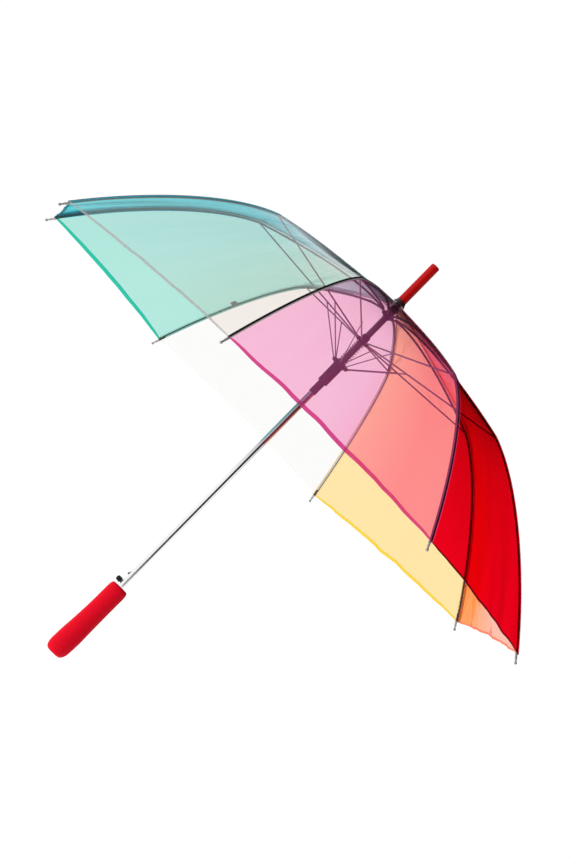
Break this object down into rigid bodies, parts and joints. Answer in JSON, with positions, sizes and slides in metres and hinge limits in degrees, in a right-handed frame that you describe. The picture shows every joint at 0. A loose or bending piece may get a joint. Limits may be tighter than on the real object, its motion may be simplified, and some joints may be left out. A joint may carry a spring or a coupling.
{
  "type": "stick umbrella",
  "caption": "Automatic stick umbrella with a see-through film canopy in many colours, slim steel ribs, spring runner, push button and red grip.",
  "frame": {"origin": "middle of the hand grip, on the shaft axis", "axes": "+Z along the shaft from the grip to the ferrule; +X along the first rib; the push button is on the -X side"},
  "size_m": [1.0166, 1.0166, 0.8275],
  "materials": {
    "black_steel": "black, half gloss",
    "film_orange": "see-through tinted film",
    "film_yellow": "see-through tinted film",
    "film_clear": "see-through tinted film",
    "film_mint": "see-through tinted film",
    "film_blue": "see-through tinted film",
    "film_smoke": "see-through tinted film",
    "film_pink": "see-through tinted film",
    "film_red": "see-through tinted film",
    "chromed_tube": "polished",
    "grip_foam": "matte red foam",
    "ferrule_red": "glossy red",
    "black_plastic": "black moulded",
    "spring_steel": "bare spring wire",
    "catch_steel": "bare steel",
    "tab_grey": "grey"
  },
  "bodies": {
    "stick": {"shaft": "chromed_tube", "handle_grip": "grip_foam", "ferrule": "ferrule_red", "crown_collar": "black_plastic", "top_notch": "black_plastic"},
    "rib_1": {"rib_1": "black_steel"},
    "rib_tip_1": {"rib_tip_1": "black_steel"},
    "stretcher_1": {"stretcher_1": "black_steel"},
    "link_1": {"link_1": "black_steel"},
    "rib_2": {"rib_2": "black_steel"},
    "rib_tip_2": {"rib_tip_2": "black_steel"},
    "stretcher_2": {"stretcher_2": "black_steel"},
    "link_2": {"link_2": "black_steel"},
    "rib_3": {"rib_3": "black_steel"},
    "rib_tip_3": {"rib_tip_3": "black_steel"},
    "stretcher_3": {"stretcher_3": "black_steel"},
    "link_3": {"link_3": "black_steel"},
    "rib_4": {"rib_4": "black_steel"},
    "rib_tip_4": {"rib_tip_4": "black_steel", "closing_tab": "tab_grey"},
    "stretcher_4": {"stretcher_4": "black_steel"},
    "link_4": {"link_4": "black_steel"},
    "rib_5": {"rib_5": "black_steel"},
    "rib_tip_5": {"rib_tip_5": "black_steel"},
    "stretcher_5": {"stretcher_5": "black_steel"},
    "link_5": {"link_5": "black_steel"},
    "rib_6": {"rib_6": "black_steel"},
    "rib_tip_6": {"rib_tip_6": "black_steel"},
    "stretcher_6": {"stretcher_6": "black_steel"},
    "link_6": {"link_6": "black_steel"},
    "rib_7": {"rib_7": "black_steel"},
    "rib_tip_7": {"rib_tip_7": "black_steel"},
    "stretcher_7": {"stretcher_7": "black_steel"},
    "link_7": {"link_7": "black_steel"},
    "rib_8": {"rib_8": "black_steel"},
    "rib_tip_8": {"rib_tip_8": "black_steel"},
    "stretcher_8": {"stretcher_8": "black_steel"},
    "link_8": {"link_8": "black_steel"},
    "upper_runner": {"upper_runner": "black_plastic"},
    "lower_runner": {"lower_runner": "black_plastic", "spring": "spring_steel"},
    "panel_orange": {"panel_orange": "film_orange"},
    "panel_orange_rim": {"panel_orange_rim": "film_orange"},
    "panel_yellow": {"panel_yellow": "film_yellow"},
    "panel_yellow_rim": {"panel_yellow_rim": "film_yellow"},
    "panel_clear": {"panel_clear": "film_clear"},
    "panel_clear_rim": {"panel_clear_rim": "film_clear"},
    "panel_mint": {"panel_mint": "film_mint"},
    "panel_mint_rim": {"panel_mint_rim": "film_mint"},
    "panel_blue": {"panel_blue": "film_blue"},
    "panel_blue_rim": {"panel_blue_rim": "film_blue"},
    "panel_smoke": {"panel_smoke": "film_smoke"},
    "panel_smoke_rim": {"panel_smoke_rim": "film_smoke"},
    "panel_pink": {"panel_pink": "film_pink"},
    "panel_pink_rim": {"panel_pink_rim": "film_pink"},
    "panel_red": {"panel_red": "film_red"},
    "panel_red_rim": {"panel_red_rim": "film_red"},
    "release": {"button": "black_plastic", "catch": "catch_steel"}
  },
  "joints": [
    {"name": "fold", "type": "hinge", "parent": "stick", "child": "rib_1", "pos_m": [0.0085, 0, 0.649], "axis": [0, 1, 0], "range_deg": [0, 80.9], "stiffness_Nm_per_rad": 1.1, "springref_deg": -74.48},
    {"name": "rib_tip_1_flex", "type": "hinge", "parent": "rib_1", "child": "rib_tip_1", "pos_m": [0.2515, 0, 0.621], "axis": [0, 1, 0], "range_deg": [-34.22, 0]},
    {"name": "stretcher_1_turn", "type": "hinge", "parent": "rib_1", "child": "stretcher_1", "pos_m": [0.2515, 0, 0.621], "axis": [0, 1, 0], "range_deg": [-161.82, 0]},
    {"name": "link_1_turn", "type": "hinge", "parent": "stretcher_1", "child": "link_1", "pos_m": [0.08499, 0.002, 0.60181], "axis": [0, 1, 0], "range_deg": [0, 28.78]},
    {"name": "rib_2_fold", "type": "hinge", "parent": "stick", "child": "rib_2", "pos_m": [0.00601, 0.00601, 0.649], "axis": [-0.7071, 0.7071, 0], "range_deg": [0, 80.92]},
    {"name": "rib_tip_2_flex", "type": "hinge", "parent": "rib_2", "child": "rib_tip_2", "pos_m": [0.17784, 0.17784, 0.621], "axis": [-0.7071, 0.7071, 0], "range_deg": [-34.22, 0]},
    {"name": "stretcher_2_turn", "type": "hinge", "parent": "rib_2", "child": "stretcher_2", "pos_m": [0.17784, 0.17784, 0.621], "axis": [-0.7071, 0.7071, 0], "range_deg": [-161.82, 0]},
    {"name": "link_2_turn", "type": "hinge", "parent": "stretcher_2", "child": "link_2", "pos_m": [0.05869, 0.06151, 0.60181], "axis": [-0.7071, 0.7071, 0], "range_deg": [0, 28.78]},
    {"name": "rib_3_fold", "type": "hinge", "parent": "stick", "child": "rib_3", "pos_m": [0, 0.0085, 0.649], "axis": [-1, 0, 0], "range_deg": [0, 80.92]},
    {"name": "rib_tip_3_flex", "type": "hinge", "parent": "rib_3", "child": "rib_tip_3", "pos_m": [0, 0.2515, 0.621], "axis": [-1, 0, 0], "range_deg": [-34.22, 0]},
    {"name": "stretcher_3_turn", "type": "hinge", "parent": "rib_3", "child": "stretcher_3", "pos_m": [0, 0.2515, 0.621], "axis": [-1, 0, 0], "range_deg": [-161.82, 0]},
    {"name": "link_3_turn", "type": "hinge", "parent": "stretcher_3", "child": "link_3", "pos_m": [-0.002, 0.08499, 0.60181], "axis": [-1, 0, 0], "range_deg": [0, 28.78]},
    {"name": "rib_4_fold", "type": "hinge", "parent": "stick", "child": "rib_4", "pos_m": [-0.00601, 0.00601, 0.649], "axis": [-0.7071, -0.7071, 0], "range_deg": [0, 80.92]},
    {"name": "rib_tip_4_flex", "type": "hinge", "parent": "rib_4", "child": "rib_tip_4", "pos_m": [-0.17784, 0.17784, 0.621], "axis": [-0.7071, -0.7071, 0], "range_deg": [-34.22, 0]},
    {"name": "stretcher_4_turn", "type": "hinge", "parent": "rib_4", "child": "stretcher_4", "pos_m": [-0.17784, 0.17784, 0.621], "axis": [-0.7071, -0.7071, 0], "range_deg": [-161.82, 0]},
    {"name": "link_4_turn", "type": "hinge", "parent": "stretcher_4", "child": "link_4", "pos_m": [-0.06151, 0.05869, 0.60181], "axis": [-0.7071, -0.7071, 0], "range_deg": [0, 28.78]},
    {"name": "rib_5_fold", "type": "hinge", "parent": "stick", "child": "rib_5", "pos_m": [-0.0085, 0, 0.649], "axis": [0, -1, 0], "range_deg": [0, 80.92]},
    {"name": "rib_tip_5_flex", "type": "hinge", "parent": "rib_5", "child": "rib_tip_5", "pos_m": [-0.2515, 0, 0.621], "axis": [0, -1, 0], "range_deg": [-34.22, 0]},
    {"name": "stretcher_5_turn", "type": "hinge", "parent": "rib_5", "child": "stretcher_5", "pos_m": [-0.2515, 0, 0.621], "axis": [0, -1, 0], "range_deg": [-161.82, 0]},
    {"name": "link_5_turn", "type": "hinge", "parent": "stretcher_5", "child": "link_5", "pos_m": [-0.08499, -0.002, 0.60181], "axis": [0, -1, 0], "range_deg": [0, 28.78]},
    {"name": "rib_6_fold", "type": "hinge", "parent": "stick", "child": "rib_6", "pos_m": [-0.00601, -0.00601, 0.649], "axis": [0.7071, -0.7071, 0], "range_deg": [0, 80.92]},
    {"name": "rib_tip_6_flex", "type": "hinge", "parent": "rib_6", "child": "rib_tip_6", "pos_m": [-0.17784, -0.17784, 0.621], "axis": [0.7071, -0.7071, 0], "range_deg": [-34.22, 0]},
    {"name": "stretcher_6_turn", "type": "hinge", "parent": "rib_6", "child": "stretcher_6", "pos_m": [-0.17784, -0.17784, 0.621], "axis": [0.7071, -0.7071, 0], "range_deg": [-161.82, 0]},
    {"name": "link_6_turn", "type": "hinge", "parent": "stretcher_6", "child": "link_6", "pos_m": [-0.05869, -0.06151, 0.60181], "axis": [0.7071, -0.7071, 0], "range_deg": [0, 28.78]},
    {"name": "rib_7_fold", "type": "hinge", "parent": "stick", "child": "rib_7", "pos_m": [0, -0.0085, 0.649], "axis": [1, 0, 0], "range_deg": [0, 80.92]},
    {"name": "rib_tip_7_flex", "type": "hinge", "parent": "rib_7", "child": "rib_tip_7", "pos_m": [0, -0.2515, 0.621], "axis": [1, 0, 0], "range_deg": [-34.22, 0]},
    {"name": "stretcher_7_turn", "type": "hinge", "parent": "rib_7", "child": "stretcher_7", "pos_m": [0, -0.2515, 0.621], "axis": [1, 0, 0], "range_deg": [-161.82, 0]},
    {"name": "link_7_turn", "type": "hinge", "parent": "stretcher_7", "child": "link_7", "pos_m": [0.002, -0.08499, 0.60181], "axis": [1, 0, 0], "range_deg": [0, 28.78]},
    {"name": "rib_8_fold", "type": "hinge", "parent": "stick", "child": "rib_8", "pos_m": [0.00601, -0.00601, 0.649], "axis": [0.7071, 0.7071, 0], "range_deg": [0, 80.92]},
    {"name": "rib_tip_8_flex", "type": "hinge", "parent": "rib_8", "child": "rib_tip_8", "pos_m": [0.17784, -0.17784, 0.621], "axis": [0.7071, 0.7071, 0], "range_deg": [-34.22, 0]},
    {"name": "stretcher_8_turn", "type": "hinge", "parent": "rib_8", "child": "stretcher_8", "pos_m": [0.17784, -0.17784, 0.621], "axis": [0.7071, 0.7071, 0], "range_deg": [-161.82, 0]},
    {"name": "link_8_turn", "type": "hinge", "parent": "stretcher_8", "child": "link_8", "pos_m": [0.06151, -0.05869, 0.60181], "axis": [0.7071, 0.7071, 0], "range_deg": [0, 28.78]},
    {"name": "upper_runner_turn", "type": "hinge", "parent": "stretcher_1", "child": "upper_runner", "pos_m": [0.0085, 0, 0.593], "axis": [0, 1, 0], "range_deg": [0, 80.92]},
    {"name": "lower_runner_slide", "type": "slide", "parent": "upper_runner", "child": "lower_runner", "axis": [0, 0, 1], "range_m": [0, 0.03397], "deforming": ["spring", "catch"]},
    {"name": "panel_orange_fold", "type": "hinge", "parent": "stick", "child": "panel_orange", "pos_m": [0.00768, 0.00318, 0.6708], "axis": [-0.3827, 0.9239, 0], "range_deg": [0, 74.39], "deforming": ["panel_orange"]},
    {"name": "panel_orange_rim_fold", "type": "hinge", "parent": "panel_orange", "child": "panel_orange_rim", "pos_m": [0.21566, 0.08933, 0.62387], "axis": [-0.3827, 0.9239, 0], "range_deg": [-29.24, 0], "deforming": ["panel_orange_rim"]},
    {"name": "panel_yellow_fold", "type": "hinge", "parent": "stick", "child": "panel_yellow", "pos_m": [0.00318, 0.00768, 0.6708], "axis": [-0.9239, 0.3827, 0], "range_deg": [0, 74.39], "deforming": ["panel_yellow"]},
    {"name": "panel_yellow_rim_fold", "type": "hinge", "parent": "panel_yellow", "child": "panel_yellow_rim", "pos_m": [0.08933, 0.21566, 0.62387], "axis": [-0.9239, 0.3827, 0], "range_deg": [-29.24, 0], "deforming": ["panel_yellow_rim"]},
    {"name": "panel_clear_fold", "type": "hinge", "parent": "stick", "child": "panel_clear", "pos_m": [-0.00318, 0.00768, 0.6708], "axis": [-0.9239, -0.3827, 0], "range_deg": [0, 74.39], "deforming": ["panel_clear"]},
    {"name": "panel_clear_rim_fold", "type": "hinge", "parent": "panel_clear", "child": "panel_clear_rim", "pos_m": [-0.08933, 0.21566, 0.62387], "axis": [-0.9239, -0.3827, 0], "range_deg": [-29.24, 0], "deforming": ["panel_clear_rim"]},
    {"name": "panel_mint_fold", "type": "hinge", "parent": "stick", "child": "panel_mint", "pos_m": [-0.00768, 0.00318, 0.6708], "axis": [-0.3827, -0.9239, 0], "range_deg": [0, 74.39], "deforming": ["panel_mint"]},
    {"name": "panel_mint_rim_fold", "type": "hinge", "parent": "panel_mint", "child": "panel_mint_rim", "pos_m": [-0.21566, 0.08933, 0.62387], "axis": [-0.3827, -0.9239, 0], "range_deg": [-29.24, 0], "deforming": ["panel_mint_rim"]},
    {"name": "panel_blue_fold", "type": "hinge", "parent": "stick", "child": "panel_blue", "pos_m": [-0.00768, -0.00318, 0.6708], "axis": [0.3827, -0.9239, 0], "range_deg": [0, 74.39], "deforming": ["panel_blue"]},
    {"name": "panel_blue_rim_fold", "type": "hinge", "parent": "panel_blue", "child": "panel_blue_rim", "pos_m": [-0.21566, -0.08933, 0.62387], "axis": [0.3827, -0.9239, 0], "range_deg": [-29.24, 0], "deforming": ["panel_blue_rim"]},
    {"name": "panel_smoke_fold", "type": "hinge", "parent": "stick", "child": "panel_smoke", "pos_m": [-0.00318, -0.00768, 0.6708], "axis": [0.9239, -0.3827, 0], "range_deg": [0, 74.39], "deforming": ["panel_smoke"]},
    {"name": "panel_smoke_rim_fold", "type": "hinge", "parent": "panel_smoke", "child": "panel_smoke_rim", "pos_m": [-0.08933, -0.21566, 0.62387], "axis": [0.9239, -0.3827, 0], "range_deg": [-29.24, 0], "deforming": ["panel_smoke_rim"]},
    {"name": "panel_pink_fold", "type": "hinge", "parent": "stick", "child": "panel_pink", "pos_m": [0.00318, -0.00768, 0.6708], "axis": [0.9239, 0.3827, 0], "range_deg": [0, 74.39], "deforming": ["panel_pink"]},
    {"name": "panel_pink_rim_fold", "type": "hinge", "parent": "panel_pink", "child": "panel_pink_rim", "pos_m": [0.08933, -0.21566, 0.62387], "axis": [0.9239, 0.3827, 0], "range_deg": [-29.24, 0], "deforming": ["panel_pink_rim"]},
    {"name": "panel_red_fold", "type": "hinge", "parent": "stick", "child": "panel_red", "pos_m": [0.00768, -0.00318, 0.6708], "axis": [0.3827, 0.9239, 0], "range_deg": [0, 74.39], "deforming": ["panel_red"]},
    {"name": "panel_red_rim_fold", "type": "hinge", "parent": "panel_red", "child": "panel_red_rim", "pos_m": [0.21566, -0.08933, 0.62387], "axis": [0.3827, 0.9239, 0], "range_deg": [-29.24, 0], "deforming": ["panel_red_rim"]},
    {"name": "button_press", "type": "slide", "parent": "stick", "child": "release", "axis": [1, 0, 0], "range_m": [0, 0.0024], "stiffness_N_per_m": 500, "springref_m": -0.0006}
  ],
  "couplings": [
    {"joint": "rib_tip_1_flex", "follows": "fold", "ratio": -0.42276},
    {"joint": "stretcher_1_turn", "follows": "fold", "ratio": -2},
    {"joint": "link_1_turn", "follows": "fold", "ratio": 0.35553},
    {"joint": "rib_2_fold", "follows": "fold", "ratio": 1},
    {"joint": "rib_tip_2_flex", "follows": "fold", "ratio": -0.42276},
    {"joint": "stretcher_2_turn", "follows": "fold", "ratio": -2},
    {"joint": "link_2_turn", "follows": "fold", "ratio": 0.35553},
    {"joint": "rib_3_fold", "follows": "fold", "ratio": 1},
    {"joint": "rib_tip_3_flex", "follows": "fold", "ratio": -0.42276},
    {"joint": "stretcher_3_turn", "follows": "fold", "ratio": -2},
    {"joint": "link_3_turn", "follows": "fold", "ratio": 0.35553},
    {"joint": "rib_4_fold", "follows": "fold", "ratio": 1},
    {"joint": "rib_tip_4_flex", "follows": "fold", "ratio": -0.42276},
    {"joint": "stretcher_4_turn", "follows": "fold", "ratio": -2},
    {"joint": "link_4_turn", "follows": "fold", "ratio": 0.35553},
    {"joint": "rib_5_fold", "follows": "fold", "ratio": 1},
    {"joint": "rib_tip_5_flex", "follows": "fold", "ratio": -0.42276},
    {"joint": "stretcher_5_turn", "follows": "fold", "ratio": -2},
    {"joint": "link_5_turn", "follows": "fold", "ratio": 0.35553},
    {"joint": "rib_6_fold", "follows": "fold", "ratio": 1},
    {"joint": "rib_tip_6_flex", "follows": "fold", "ratio": -0.42276},
    {"joint": "stretcher_6_turn", "follows": "fold", "ratio": -2},
    {"joint": "link_6_turn", "follows": "fold", "ratio": 0.35553},
    {"joint": "rib_7_fold", "follows": "fold", "ratio": 1},
    {"joint": "rib_tip_7_flex", "follows": "fold", "ratio": -0.42276},
    {"joint": "stretcher_7_turn", "follows": "fold", "ratio": -2},
    {"joint": "link_7_turn", "follows": "fold", "ratio": 0.35553},
    {"joint": "rib_8_fold", "follows": "fold", "ratio": 1},
    {"joint": "rib_tip_8_flex", "follows": "fold", "ratio": -0.42276},
    {"joint": "stretcher_8_turn", "follows": "fold", "ratio": -2},
    {"joint": "link_8_turn", "follows": "fold", "ratio": 0.35553},
    {"joint": "upper_runner_turn", "follows": "fold", "ratio": 1},
    {"joint": "lower_runner_slide", "follows": "fold", "m_per_rad": 0.024023},
    {"joint": "panel_orange_fold", "follows": "fold", "ratio": 0.91925},
    {"joint": "panel_orange_rim_fold", "follows": "fold", "ratio": -0.36118},
    {"joint": "panel_yellow_fold", "follows": "fold", "ratio": 0.91925},
    {"joint": "panel_yellow_rim_fold", "follows": "fold", "ratio": -0.36118},
    {"joint": "panel_clear_fold", "follows": "fold", "ratio": 0.91925},
    {"joint": "panel_clear_rim_fold", "follows": "fold", "ratio": -0.36118},
    {"joint": "panel_mint_fold", "follows": "fold", "ratio": 0.91925},
    {"joint": "panel_mint_rim_fold", "follows": "fold", "ratio": -0.36118},
    {"joint": "panel_blue_fold", "follows": "fold", "ratio": 0.91925},
    {"joint": "panel_blue_rim_fold", "follows": "fold", "ratio": -0.36118},
    {"joint": "panel_smoke_fold", "follows": "fold", "ratio": 0.91925},
    {"joint": "panel_smoke_rim_fold", "follows": "fold", "ratio": -0.36118},
    {"joint": "panel_pink_fold", "follows": "fold", "ratio": 0.91925},
    {"joint": "panel_pink_rim_fold", "follows": "fold", "ratio": -0.36118},
    {"joint": "panel_red_fold", "follows": "fold", "ratio": 0.91925},
    {"joint": "panel_red_rim_fold", "follows": "fold", "ratio": -0.36118}
  ]
}
